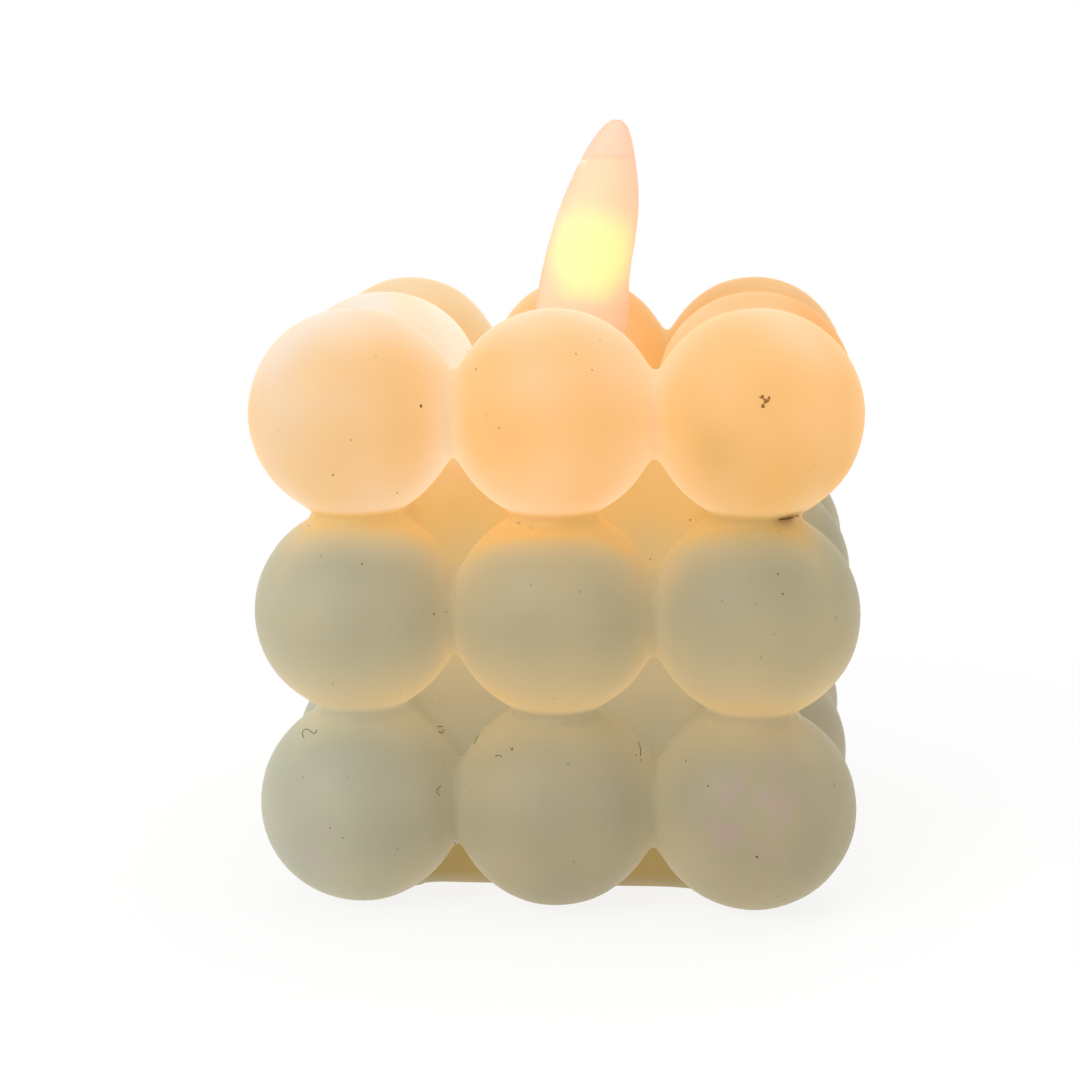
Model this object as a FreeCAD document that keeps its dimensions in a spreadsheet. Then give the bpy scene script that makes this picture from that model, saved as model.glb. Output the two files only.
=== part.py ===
# Sculpted bubble candle: a cube of cast-wax balls with a moulded flame lit by a small battery module.
# Origin at the bottom centre, +Z up, front towards -Y, millimetres.
import FreeCAD, Part
import Sketcher
import math
import os

os.makedirs("parts", exist_ok=True)
doc = FreeCAD.newDocument("sculpted_candle")
V = FreeCAD.Vector

# Sizes
dims = doc.addObject("Spreadsheet::Sheet", "dims")
SIZES = [
    ("ball_overlap", 1.0, "how far neighbouring balls run into each other"),
    ("ball_neck_radius", 0.8, "concave radius where two balls melt together"),
    ("ball_set_out", 3.6, "ball centres outside the faces of the core"),
    ("base_trim", 0.15, "wax levelled off the bottom balls"),
    ("overcut", 1.0, "how far a cutting solid runs past the face that it opens"),
    ("well_drop", 2.2, "floor of the top well below the top ball centres"),
    ("web_width", 4.0, "webs that join the core to the corner columns"),
    ("web_inset", 1.8, "end of a web short of the corner column's axis"),
    ("pocket_wall", 1.5, "thinnest wax between the pocket and a face of the core"),
    ("pocket_clearance", 0.2, "wax to module, each side"),
    ("module_gap", 0.4, "underside of the module above the table"),
    ("glue_thickness", 0.3, "hot glue between the module and the wax"),
    ("glue_diameter", 4.0, "one dab of hot glue"),
    ("stem_clearance", 0.3, "wax to stem, each side"),
    ("cell_diameter", 20.0, "coin cell"),
    ("cell_height", 3.2, "coin cell"),
    ("cell_cap_step", 1.3, "cap of the cell narrower than its can, each side"),
    ("cell_cap_height", 0.4, "cap of the cell above its can"),
    ("cell_gap", 0.3, "door to cell"),
    ("door_rim", 0.6, "door wider than the cell, each side"),
    ("door_gap", 0.25, "door to housing, each side"),
    ("door_ledge", 1.5, "ring of the door under the edge of the cell"),
    ("door_dish_depth", 1.0, "hollow in the door's inner side"),
    ("lug_reach", 1.0, "bayonet lug beyond the door's edge"),
    ("lug_height", 0.8, "bayonet lug"),
    ("lug_width", 4.0, "bayonet lug"),
    ("lug_gap", 0.3, "lug above the housing's floor"),
    ("lug_angle", 15.0, "lugs and their entry notches each turned this far from the cross line, degrees"),
    ("notch_gap", 0.4, "entry notch wider than its lug, each side"),
    ("coin_slot_length", 12.0, "slot for a coin"),
    ("coin_slot_width", 1.8, "slot for a coin"),
    ("coin_slot_depth", 0.8, "slot for a coin"),
    ("back_rim", 1.05, "housing behind the door's opening"),
    ("switch_room", 2.05, "floor between the door's opening and the switch"),
    ("housing_wall", 1.2, "side wall of the housing"),
    ("housing_floor", 1.2, "floor of the housing"),
    ("cover_thickness", 1.2, "top plate of the module"),
    ("ring_gap", 0.35, "ring round the cell to the door's edge"),
    ("ring_wall", 0.8, "ring round the cell"),
    ("ring_break", 3.2, "break in that ring in front of the switch"),
    ("board_gap", 0.7, "cell to circuit board"),
    ("board_thickness", 1.0, "circuit board"),
    ("board_clearance", 0.3, "board edge to housing"),
    ("top_room", 3.3, "circuit board to cover"),
    ("screw_angle", 40.0, "housing screws, in front of the cross line, degrees"),
    ("screw_diameter", 1.8, "screw shank"),
    ("screw_head_rim", 0.7, "screw head wider than its shank, each side"),
    ("screw_head_height", 0.9, "screw head"),
    ("screw_gap", 0.15, "screw to its clearance holes"),
    ("screw_bite", 2.2, "screw length inside the cover's post"),
    ("boss_wall", 0.55, "screw boss outside the screw head's recess"),
    ("post_wall", 0.7, "screw post outside the shank"),
    ("post_inset", 0.1, "screw post inside the lip's outer side"),
    ("lip_height", 1.2, "locating lip under the cover"),
    ("lip_wall", 0.8, "locating lip"),
    ("lip_gap", 0.15, "lip to housing wall"),
    ("hook_width", 5.0, "snap hook at the back"),
    ("hook_length", 2.8, "snap hook"),
    ("hook_barb", 0.8, "barb of the snap hook"),
    ("hook_gap", 0.3, "window round the barb"),
    ("slider_length", 3.0, "sliding block of the switch"),
    ("slider_width", 1.4, "sliding block of the switch"),
    ("slider_height", 1.4, "sliding block of the switch"),
    ("slider_gap", 0.3, "sliding block to the switch body"),
    ("switch_travel", 2.0, "travel of the knob"),
    ("switch_wall", 0.5, "long walls of the switch body"),
    ("switch_end", 0.7, "end walls of the switch body"),
    ("switch_roof", 0.8, "top of the switch body"),
    ("switch_frame", 0.4, "sheet metal frame of the switch"),
    ("switch_edge_gap", 0.4, "corner of the switch to the housing wall"),
    ("knob_length", 1.6, "knob of the switch"),
    ("knob_width", 1.2, "knob of the switch"),
    ("knob_recess", 0.4, "knob's end above the housing's underside"),
    ("wiper_thickness", 0.2, "sliding contact"),
    ("wiper_length", 2.6, "sliding contact"),
    ("wiper_width", 0.8, "sliding contact"),
    ("pin_pitch", 2.0, "switch pins"),
    ("pin_size", 0.5, "switch pins"),
    ("pin_hole_gap", 0.1, "pin to its hole in the board, each side"),
    ("contact_thickness", 0.3, "battery strip"),
    ("contact_width", 4.0, "battery strip"),
    ("contact_touch", 0.02, "battery strip to the cell"),
    ("contact_foot", 3.0, "soldered foot of the strip over the cell"),
    ("contact_slope", 4.0, "sloping arm of that strip"),
    ("contact_lip", 2.0, "turned-up end of that strip"),
    ("tab_foot", 2.2, "soldered foot of the strip beside the cell"),
    ("tab_rise", 0.6, "lower end of that strip above the cell's underside"),
    ("solder_height", 0.6, "solder cone"),
    ("solder_radius", 0.75, "solder cone"),
    ("blob_diameter", 6.0, "epoxy dome over the controller chip"),
    ("blob_height", 1.1, "epoxy dome over the controller chip"),
    ("blob_margin", 2.6, "epoxy dome in from the board's edge"),
    ("blob_y", 3.0, "epoxy dome, towards the back"),
    ("chip_length", 2.0, "small surface-mount part"),
    ("chip_width", 1.25, "small surface-mount part"),
    ("chip_height", 0.6, "small surface-mount part"),
    ("chip_spacing", 2.5, "spacing of the small parts along the board"),
    ("led_tilt", 8.0, "lean of the lamp, degrees"),
    ("led_pivot_rise", 0.95, "bend of the holder above the well floor"),
    ("led_seat", 10.9, "lamp flange above the bend, along the lean"),
    ("led_diameter", 5.0, "lamp body"),
    ("led_height", 8.6, "lamp from flange to dome top"),
    ("led_flange_rim", 0.4, "lamp flange outside the body"),
    ("led_flange_height", 1.0, "lamp flange"),
    ("led_lead_size", 0.5, "square lead"),
    ("led_lead_pitch", 2.54, "spacing of the leads"),
    ("led_lead_length", 10.9, "leads below the flange, trimmed"),
    ("led_frame_height", 3.2, "leads inside the lens"),
    ("led_post_width", 0.9, "head of the positive lead"),
    ("led_cup_width", 1.7, "cup on the negative lead"),
    ("led_die_size", 0.35, "light-emitting chip"),
    ("led_die_inset", 0.9, "chip from the outer edge of the cup"),
    ("wire_diameter", 0.8, "insulated wire"),
    ("wire_top_gap", 0.35, "wire's end below the bend, against the trimmed lead"),
    ("sleeve_room", 0.35, "bore of the sleeve over the wire's diameter"),
    ("sleeve_wall", 0.3, "shrunk sleeve over a soldered lead"),
    ("sleeve_lap", 0.8, "sleeve beyond the trimmed end of its lead"),
    ("sleeve_start", 3.5, "top of the sleeve below the lamp"),
    ("bore_room", 0.3, "bore of the holder over its two sleeves"),
    ("holder_wall", 0.8, "tube that grips the lamp"),
    ("holder_fit", 0.1, "holder in the flame's neck, each side"),
    ("neck_wall", 0.5, "neck of the flame"),
    ("neck_length", 4.5, "neck of the flame"),
    ("neck_fit", 0.1, "flame's neck in the stem, each side"),
    ("stem_wall", 1.0, "stem that carries the flame"),
    ("flame_sink", 1.0, "bottom of the flame below the well floor"),
    ("flame_wall", 0.9, "wall of the flame"),
    ("flame_air", 0.55, "air between the holder and the flame's wall"),
    ("low_swell", 0.1, "flame wider at this station than at the one below"),
    ("belly_swell", 0.2, "wider again at the belly"),
    ("shoulder_taper", 0.55, "narrower above the belly"),
    ("upper_taper", 1.85, "narrower again"),
    ("crown_taper", 1.6, "narrower again"),
    ("point_taper", 2.1, "narrower again"),
    ("tip_taper", 2.35, "narrower again, at the rounded tip"),
    ("low_step", 6.0, "height of each station above the one below"),
    ("belly_step", 8.2, "height step"),
    ("shoulder_step", 5.0, "height step"),
    ("upper_step", 5.0, "height step"),
    ("crown_step", 2.5, "height step"),
    ("point_step", 2.4, "height step"),
    ("tip_step", 1.25, "height step"),
    ("low_lean", 0.75, "sideways shift of each station from the one below"),
    ("belly_lean", 1.06, "lean step"),
    ("shoulder_lean", 1.03, "lean step"),
    ("upper_lean", 1.01, "lean step"),
    ("crown_lean", 0.47, "lean step"),
    ("point_lean", 0.53, "lean step"),
    ("tip_lean", 0.25, "lean step"),
    ("flame_thinning", 0.3, "flame shallower than it is wide"),
]
for row, (alias, value, note) in enumerate(SIZES, start=1):
    dims.set(f"A{row}", alias)
    dims.set(f"B{row}", str(value))
    dims.set(f"C{row}", note)
    dims.setAlias(f"B{row}", alias)
doc.recompute()


def ex(text):
    """Write 'dims.' before every size name in an expression."""
    out = []
    word = ""
    for ch in text + " ":
        if ch.isalnum() or ch == "_":
            word += ch
            continue
        if word:
            out.append("dims." + word if word in NAMES else word)
            word = ""
        out.append(ch)
    return "".join(out).strip()


NAMES = {alias for alias, _, _ in SIZES}


def val(text):
    return float(dims.evalExpression(ex(text)))


# Plan sizes that several pieces share, each from the piece inside it
R_DOOR = "(cell_diameter/2 + door_rim)"
R_LUG = f"({R_DOOR} + lug_reach)"
SWITCH_LONG = "(slider_length + switch_travel + 2*slider_gap + 2*switch_end)"
SWITCH_WIDE = "(slider_width + 2*slider_gap + 2*switch_wall)"
SWITCH_HIGH = "(2*slider_gap + slider_height + wiper_thickness + switch_roof)"
R_HOUSING = f"({R_DOOR} + door_gap + (back_rim + housing_wall + {SWITCH_WIDE} + switch_room)/2)"
R_INSIDE = f"({R_HOUSING} - housing_wall)"
CELL_Y = f"({R_HOUSING} - {R_DOOR} - door_gap - back_rim)"
CORNER_R = f"({R_INSIDE} - switch_edge_gap)"
CORNER_X = f"({SWITCH_LONG}/2 + switch_frame)"
SWITCH_Y = f"({SWITCH_WIDE}/2 - sqrt({CORNER_R}*{CORNER_R} - {CORNER_X}*{CORNER_X}))"
POST_R = "(screw_diameter/2 + post_wall)"
HEAD_R = "(screw_diameter/2 + screw_head_rim)"
SCREW_RING = f"({R_INSIDE} - lip_gap - post_inset - {POST_R})"
SCREW_X = f"({SCREW_RING}*cos(screw_angle))"
SCREW_Y = f"(-{SCREW_RING}*sin(screw_angle))"
SLEEVE_BORE = "(wire_diameter + sleeve_room)"
SLEEVE_OUT = f"({SLEEVE_BORE} + 2*sleeve_wall)"
HOLDER_BORE = f"(led_lead_pitch + {SLEEVE_OUT} + bore_room)"
HOLDER_OUT = f"({HOLDER_BORE} + 2*holder_wall)"
NECK_BORE = f"({HOLDER_OUT} + 2*holder_fit)"
NECK_OUT = f"({NECK_BORE} + 2*neck_wall)"
STEM_BORE = f"({NECK_OUT} + 2*neck_fit)"
STEM_OUT = f"({STEM_BORE} + 2*stem_wall)"
CORE = f"({R_HOUSING} + pocket_clearance + pocket_wall)"
PITCH = f"({CORE} + ball_set_out)"
BALL = f"(({PITCH} + ball_overlap)/2)"

# Levels that several pieces share
Z_PLATE = "(module_gap + housing_floor)"
DOOR_HIGH = "(housing_floor + lug_gap + lug_height)"
Z_CELL = f"(module_gap + {DOOR_HIGH} + cell_gap)"
Z_BOARD = f"({Z_CELL} + cell_height + board_gap)"
Z_BOARD_TOP = f"({Z_BOARD} + board_thickness)"
Z_COVER = f"({Z_BOARD_TOP} + top_room)"
Z_COVER_TOP = f"({Z_COVER} + cover_thickness)"
Z_POCKET = f"({Z_COVER_TOP} + glue_thickness)"
Z_SWITCH = f"({Z_BOARD} - {SWITCH_HIGH})"
LEVELS = (f"({BALL} - base_trim)", f"({PITCH} + {BALL} - base_trim)",
          f"(2*{PITCH} + {BALL} - base_trim)")
Z_FLOOR = f"({LEVELS[2]} - well_drop)"
Z_FLAME = f"({Z_FLOOR} - flame_sink)"
Z_BEND = f"({Z_FLOOR} + led_pivot_rise)"


# Small tools for sketches, bodies and solids
def plane(body, role):
    return next(f for f in body.Origin.OriginFeatures if f.Role == role)


def body(label):
    b = doc.addObject("PartDesign::Body", label)
    b.Label = label
    return b


def sketch(owner, role="XY_Plane", level="0"):
    s = owner.newObject("Sketcher::SketchObject", "sketch")
    s.AttachmentSupport = [(plane(owner, role), "")]
    s.MapMode = "FlatFace"
    s.setExpression("AttachmentOffset.Base.z", ex(level))
    return s


def fix(s, geo, point, x, y):
    """Tie one point of a sketch to two expressions."""
    for kind, axis, text in (("DistanceX", -2, x), ("DistanceY", -1, y)):
        if text == "0":
            s.addConstraint(Sketcher.Constraint("PointOnObject", geo, point, axis))
        else:
            n = s.addConstraint(Sketcher.Constraint(kind, -1, 1, geo, point, val(text)))
            s.setExpression(f"Constraints[{n}]", ex(text))


def polygon(s, points):
    corners = [V(val(x), val(y), 0) for x, y in points]
    first = None
    count = len(points)
    for i in range(count):
        g = s.addGeometry(Part.LineSegment(corners[i], corners[(i + 1) % count]), False)
        first = g if first is None else first
        if i:
            s.addConstraint(Sketcher.Constraint("Coincident", g - 1, 2, g, 1))
        fix(s, g, 1, *points[i])
    s.addConstraint(Sketcher.Constraint("Coincident", first + count - 1, 2, first, 1))


def box_points(cx, cy, length, width, angle="0"):
    """Corners of a rectangle round a centre, turned by an angle in degrees."""
    out = []
    for a, b in ((-1, -1), (1, -1), (1, 1), (-1, 1)):
        if angle == "0":
            out.append((f"({cx}) + ({a})*({length})/2", f"({cy}) + ({b})*({width})/2"))
        else:
            dx, dy = f"({a})*({length})/2", f"({b})*({width})/2"
            out.append((f"({cx}) + {dx}*cos({angle}) - {dy}*sin({angle})",
                        f"({cy}) + {dx}*sin({angle}) + {dy}*cos({angle})"))
    return out


def size(s, kind, geo, text):
    n = s.addConstraint(Sketcher.Constraint(kind, geo, val(text)))
    s.setExpression(f"Constraints[{n}]", ex(text))


def link(s, geo_a, end_a, geo_b, end_b, kind="Coincident"):
    s.addConstraint(Sketcher.Constraint(kind, geo_a, end_a, geo_b, end_b))


def circle(s, cx, cy, radius):
    g = s.addGeometry(Part.Circle(V(val(cx), val(cy), 0), V(0, 0, 1), val(radius)), False)
    fix(s, g, 3, cx, cy)
    size(s, "Radius", g, radius)


def arc(s, centre, radius, start, end):
    """An arc round a fixed centre, anticlockwise from start to end."""
    x, y = val(centre[0]), val(centre[1])
    first = math.atan2(val(start[1]) - y, val(start[0]) - x)
    last = math.atan2(val(end[1]) - y, val(end[0]) - x)
    c = Part.Circle(V(x, y, 0), V(0, 0, 1), val(radius))
    g = s.addGeometry(Part.ArcOfCircle(c, first, last if last > first else last + 2 * math.pi), False)
    fix(s, g, 3, *centre)
    return g


def pad(b, s, length, kind="PartDesign::Pad", both=False, back=False):
    f = b.newObject(kind, "feature")
    f.Profile = s
    if kind.endswith("Pocket"):
        back = not back
    f.setExpression("Length", ex(length))
    f.Midplane = both
    f.Reversed = back
    s.Visibility = False
    return f


def cut(b, s, length):
    """Pocket from the sketch plane towards +Z of the sketch."""
    return pad(b, s, length, "PartDesign::Pocket")


def revolve(b, s):
    f = b.newObject("PartDesign::Revolution", "feature")
    f.Profile = s
    f.ReferenceAxis = (s, ["V_Axis"])
    f.Angle = 360.0
    s.Visibility = False
    return f


def ring(b, outer, inner, low, height, cx="0", cy="0"):
    s = sketch(b, level=low)
    circle(s, cx, cy, outer)
    if inner:
        circle(s, cx, cy, inner)
    return pad(b, s, height)


def hole(b, radius, low, height, cx="0", cy="0"):
    s = sketch(b, level=low)
    circle(s, cx, cy, radius)
    return cut(b, s, height)


def slab(b, cx, cy, length, width, low, height, angle="0"):
    s = sketch(b, level=low)
    polygon(s, box_points(cx, cy, length, width, angle))
    return pad(b, s, height)


def slot(b, cx, cy, length, width, low, height, angle="0"):
    s = sketch(b, level=low)
    polygon(s, box_points(cx, cy, length, width, angle))
    return cut(b, s, height)


def solid(kind, sizes, at):
    """A Part primitive with its sizes and place tied to expressions."""
    o = doc.addObject(kind, "solid")
    for key, text in sizes.items():
        o.setExpression(key, ex(text))
    for axis, text in zip("xyz", at):
        if text != "0":
            o.setExpression(f"Placement.Base.{axis}", ex(text))
    return o


def block(cx, cy, low, length, width, height):
    return solid("Part::Box", {"Length": length, "Width": width, "Height": height},
                 (f"({cx}) - ({length})/2", f"({cy}) - ({width})/2", low))


def rod(cx, cy, low, radius, height):
    return solid("Part::Cylinder", {"Radius": radius, "Height": height}, (cx, cy, low))


def fuse(label, shapes):
    f = doc.addObject("Part::MultiFuse", "fuse")
    f.Shapes = shapes
    f.Refine = False
    f.Label = label
    return f


def minus(label, base, tool):
    c = doc.addObject("Part::Cut", "cut")
    c.Base = base
    c.Tool = tool
    c.Refine = False
    c.Label = label
    return c


def group(label, shapes):
    g = doc.addObject("Part::Compound", "group")
    g.Links = shapes
    g.Label = label
    return g


nodes = {}


# Wax body
# Columns of three melted balls stand round a square core, and short collars join them sideways.
NECK = f"({BALL} + ball_neck_radius)"
DIP_X = f"({PITCH}/2*ball_neck_radius/{NECK})"
DIP_HIGH = f"sqrt({NECK}*{NECK} - {PITCH}*{PITCH}/4)"
DIP_Y = f"({DIP_HIGH}*{BALL}/{NECK})"


def free_sketch(name):
    return doc.addObject("Sketcher::SketchObject", name)


def column_profile():
    """Three balls in a row along X with a concave neck between each two."""
    s = free_sketch("column_profile")
    far = f"-{PITCH}"
    left = arc(s, (far, "0"), BALL, (f"{far}/2 - {DIP_X}", DIP_Y), (f"{far} - {BALL}", "0"))
    mid = arc(s, ("0", "0"), BALL, (f"{PITCH}/2 - {DIP_X}", DIP_Y), (f"{far}/2 + {DIP_X}", DIP_Y))
    right = arc(s, (PITCH, "0"), BALL, (f"{PITCH} + {BALL}", "0"), (f"{PITCH}/2 + {DIP_X}", DIP_Y))
    dips = []
    for side in (far, PITCH):
        x = f"{side}/2"
        c = Part.Circle(V(val(x), val(DIP_HIGH), 0), V(0, 0, 1), val("ball_neck_radius"))
        half = math.atan2(val(DIP_HIGH), val(PITCH) / 2)
        dips.append(s.addGeometry(Part.ArcOfCircle(c, math.pi + half, 2 * math.pi - half), False))
    span = val(PITCH) + val(BALL)
    axis = s.addGeometry(Part.LineSegment(V(-span, 0, 0), V(span, 0, 0)), False)
    size(s, "Radius", mid, BALL)
    link(s, left, 1, dips[0], 1, "Tangent")
    link(s, dips[0], 2, mid, 2, "Tangent")
    link(s, mid, 1, dips[1], 1, "Tangent")
    link(s, dips[1], 2, right, 2, "Tangent")
    size(s, "Radius", dips[0], "ball_neck_radius")
    for other, ref in ((left, mid), (right, mid), (dips[1], dips[0])):
        s.addConstraint(Sketcher.Constraint("Equal", other, ref))
    s.addConstraint(Sketcher.Constraint("PointOnObject", left, 2, -1))
    s.addConstraint(Sketcher.Constraint("PointOnObject", right, 1, -1))
    link(s, axis, 1, left, 2)
    link(s, axis, 2, right, 1)
    return s


def collar_profile():
    """The concave ring of wax between two neighbouring balls, along X."""
    s = free_sketch("collar_profile")
    x, y, high = val(DIP_X), val(DIP_Y), val(DIP_HIGH)
    half = math.atan2(high, val(PITCH) / 2)
    c = Part.Circle(V(0, high, 0), V(0, 0, 1), val("ball_neck_radius"))
    dip = s.addGeometry(Part.ArcOfCircle(c, math.pi + half, 2 * math.pi - half), False)
    corners = [V(x, y, 0), V(x, 0, 0), V(-x, 0, 0), V(-x, y, 0)]
    sides = [s.addGeometry(Part.LineSegment(a, b), False) for a, b in zip(corners, corners[1:])]
    fix(s, dip, 1, f"-{DIP_X}", DIP_Y)
    fix(s, dip, 2, DIP_X, DIP_Y)
    size(s, "Radius", dip, "ball_neck_radius")
    link(s, dip, 2, sides[0], 1)
    link(s, sides[0], 2, sides[1], 1)
    link(s, sides[1], 2, sides[2], 1)
    link(s, sides[2], 2, dip, 1)
    for g in (sides[0], sides[2]):
        s.addConstraint(Sketcher.Constraint("Vertical", g))
    s.addConstraint(Sketcher.Constraint("PointOnObject", sides[0], 2, -1))
    s.addConstraint(Sketcher.Constraint("PointOnObject", sides[1], 2, -1))
    return s


def turned(profile, turn, at):
    r = doc.addObject("Part::Revolution", "turned")
    r.Source = profile
    r.Axis = V(1, 0, 0)
    r.Base = V(0, 0, 0)
    r.Angle = 360.0
    r.Solid = True
    r.Placement = FreeCAD.Placement(V(0, 0, 0), FreeCAD.Rotation(V(*turn[0]), turn[1]))
    for axis, text in zip("xyz", at):
        if text != "0":
            r.setExpression(f"Placement.Base.{axis}", ex(text))
    return r


ball_column = column_profile()
collar = collar_profile()
lumps = []
for sx, sy in ((-1, -1), (0, -1), (1, -1), (-1, 0), (1, 0), (-1, 1), (0, 1), (1, 1)):
    at = [f"({n})*{PITCH}" if n else "0" for n in (sx, sy)]
    lumps.append(turned(ball_column, ((0, 1, 0), -90), (at[0], at[1], LEVELS[1])))
for level in LEVELS:
    for side in (-1, 1):
        for half in (-0.5, 0.5):
            near, far = f"({half})*{PITCH}", f"({side})*{PITCH}"
            lumps.append(turned(collar, ((0, 0, 1), 0), (near, far, level)))
            lumps.append(turned(collar, ((0, 0, 1), 90), (far, near, level)))
for angle in ("45", "135"):
    web = body("web")
    slab(web, "0", "0", f"2*sqrt(2)*({PITCH} - web_inset)", "web_width", "0", Z_FLOOR, angle)
    lumps.append(web)
core = block("0", "0", "0", f"2*{CORE}", f"2*{CORE}", Z_FLOOR)
under = block("0", "0", f"-{BALL}", f"2*({PITCH} + {BALL} + overcut)", f"2*({PITCH} + {BALL} + overcut)", BALL)
pocket = rod("0", "0", "-overcut", f"{R_HOUSING} + pocket_clearance", f"{Z_POCKET} + overcut")
bore = rod("0", "0", "0", f"{STEM_OUT}/2 + stem_clearance", f"{Z_FLOOR} + overcut")
nodes["wax_body"] = minus("wax_body", fuse("wax lump", [core] + lumps),
                          fuse("wax cut-outs", [under, pocket, bore]))

# Flame shell
# A leaning drop lofted through its stations, hollowed to an even wall, on a round neck.
STATIONS = (("low", "+ low_swell"), ("belly", "+ belly_swell"), ("shoulder", "- shoulder_taper"),
            ("upper", "- upper_taper"), ("crown", "- crown_taper"), ("point", "- point_taper"),
            ("tip", "- tip_taper"))
FLAME_BASE = f"{HOLDER_OUT} + 2*flame_wall + 2*flame_air"


def station(b, index, inset="0"):
    steps = STATIONS[:index]
    rise = " + ".join([Z_FLOOR] + [f"{n}_step" for n, _ in steps])
    lean = " + ".join([f"{n}_lean" for n, _ in steps]) or "0"
    wide = f"({FLAME_BASE} {' '.join(change for _, change in steps)} - 2*({inset}))"
    deep = f"({wide} - flame_thinning)"
    s = sketch(b, level=rise)
    mid = V(val(lean), 0, 0)
    e = Part.Ellipse(mid + V(val(wide) / 2, 0, 0), mid + V(0, val(deep) / 2, 0), mid)
    g = s.addGeometry(e, False)
    s.exposeInternalGeometry(g)
    fix(s, g, 3, lean, "0")
    s.addConstraint(Sketcher.Constraint("Horizontal", g + 1))
    for axis, text in ((g + 1, wide), (g + 2, deep)):
        n = s.addConstraint(Sketcher.Constraint("Distance", axis, 1, axis, 2, val(text)))
        s.setExpression(f"Constraints[{n}]", ex(text))
    return s


def loft(b, kind, sections):
    f = b.newObject(kind, "loft")
    f.Profile = sections[0]
    f.Sections = sections[1:]
    return f


flame = body("flame_shell")
outer = [station(flame, i) for i in range(len(STATIONS) + 1)]
loft(flame, "PartDesign::AdditiveLoft", outer)
pad(flame, outer[0], "flame_sink", back=True)
Z_NECK = f"({Z_FLAME} - neck_length)"
ring(flame, f"{NECK_OUT}/2", None, Z_NECK, "neck_length")
loft(flame, "PartDesign::SubtractiveLoft", [station(flame, i, "flame_wall") for i in (0, 2, 4, 5)])
hole(flame, f"{NECK_BORE}/2", Z_NECK, "neck_length + flame_sink + holder_fit")
nodes["flame_shell"] = flame


# Lamp
# A standard 5 mm lamp on two trimmed leads, leaning with the flame on the tube that grips it.
def lean_with_flame(o):
    o.Placement = FreeCAD.Placement(V(0, 0, 0), FreeCAD.Rotation(V(0, 1, 0), 1))
    o.setExpression("Placement.Rotation.Angle", ex("led_tilt"))
    o.setExpression("Placement.Base.x", ex("led_seat*sin(led_tilt)"))
    o.setExpression("Placement.Base.z", ex(f"{Z_BEND} + led_seat*cos(led_tilt)"))
    return o


def lead(label, side, head):
    b = body(label)
    slab(b, f"({side})*led_lead_pitch/2", "0", "led_lead_size", "led_lead_size", "-led_lead_length",
         "led_lead_length + led_frame_height")
    slab(b, f"({side})*(led_lead_pitch/2 + led_lead_size/2 - {head}/2)", "0", head, "2*led_lead_size",
         "led_frame_height", "led_lead_size")
    return lean_with_flame(b)


anode = lead("led_anode", "1", "led_post_width")
cathode = lead("led_cathode", "-1", "led_cup_width")
die = body("led_die")
slab(die, "led_die_inset - led_lead_pitch/2 - led_lead_size/2", "0", "led_die_size", "led_die_size",
     "led_frame_height + led_lead_size", "led_die_size")
lean_with_flame(die)
lens = body("lens")
s = sketch(lens, "XZ_Plane")
R, RIM, DOME = "led_diameter/2", "(led_diameter/2 + led_flange_rim)", "(led_height - led_diameter/2)"
walk = [("0", "0"), (RIM, "0"), (RIM, "led_flange_height"), (R, "led_flange_height"), (R, DOME)]
for i, (a, b) in enumerate(zip(walk, walk[1:])):
    g = s.addGeometry(Part.LineSegment(V(val(a[0]), val(a[1]), 0), V(val(b[0]), val(b[1]), 0)), False)
    if i:
        link(s, g - 1, 2, g, 1)
    fix(s, g, 1, *a)
fix(s, g, 2, *walk[-1])
cap = arc(s, ("0", DOME), R, (R, DOME), ("0", "led_height"))
link(s, g, 2, cap, 1)
s.addConstraint(Sketcher.Constraint("PointOnObject", cap, 2, -2))
back = s.addGeometry(Part.LineSegment(V(0, val("led_height"), 0), V(0, 0, 0)), False)
link(s, cap, 2, back, 1)
link(s, back, 2, 0, 1)
revolve(lens, s)
lean_with_flame(lens)
nodes["led_lens"] = minus("led_lens", lens, fuse("lens cavity", [anode, cathode, die]))
nodes["led_anode"] = anode
nodes["led_cathode"] = cathode
nodes["led_die"] = die

# Lamp holder: one tube with a straight spigot in the flame's neck and a leaning end under the lamp.
holder = body("led_holder")
path = sketch(holder, "XZ_Plane")
bends = [("0", Z_NECK), ("0", Z_BEND), ("led_seat*sin(led_tilt)", f"{Z_BEND} + led_seat*cos(led_tilt)")]
for a, b in zip(bends, bends[1:]):
    g = path.addGeometry(Part.LineSegment(V(val(a[0]), val(a[1]), 0), V(val(b[0]), val(b[1]), 0)), False)
    fix(path, g, 1, *a)
link(path, 0, 2, 1, 1)
fix(path, g, 2, *bends[-1])
section = sketch(holder, level=Z_NECK)
circle(section, "0", "0", f"{HOLDER_OUT}/2")
circle(section, "0", "0", f"{HOLDER_BORE}/2")
pipe = holder.newObject("PartDesign::AdditivePipe", "pipe")
pipe.Profile = section
pipe.Spine = (path, ["Edge1", "Edge2"])
pipe.Transition = "Right corner"
nodes["led_holder"] = holder

sleeves = []
for side in ("-1", "1"):
    b = body("sleeve")
    ring(b, f"{SLEEVE_OUT}/2", f"{SLEEVE_BORE}/2", "-led_lead_length - sleeve_lap",
         "led_lead_length + sleeve_lap - sleeve_start", f"({side})*led_lead_pitch/2")
    sleeves.append(lean_with_flame(b))
nodes["lead_sleeves"] = group("lead_sleeves", sleeves)

# Wires from the trimmed leads down the stem to the circuit board
Z_WIRE = f"({Z_BOARD_TOP} + solder_height)"
LEAD_END_X = "(led_seat - led_lead_length)*sin(led_tilt)"
LEAD_END_Z = f"({Z_BEND} + (led_seat - led_lead_length)*cos(led_tilt))"


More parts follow.
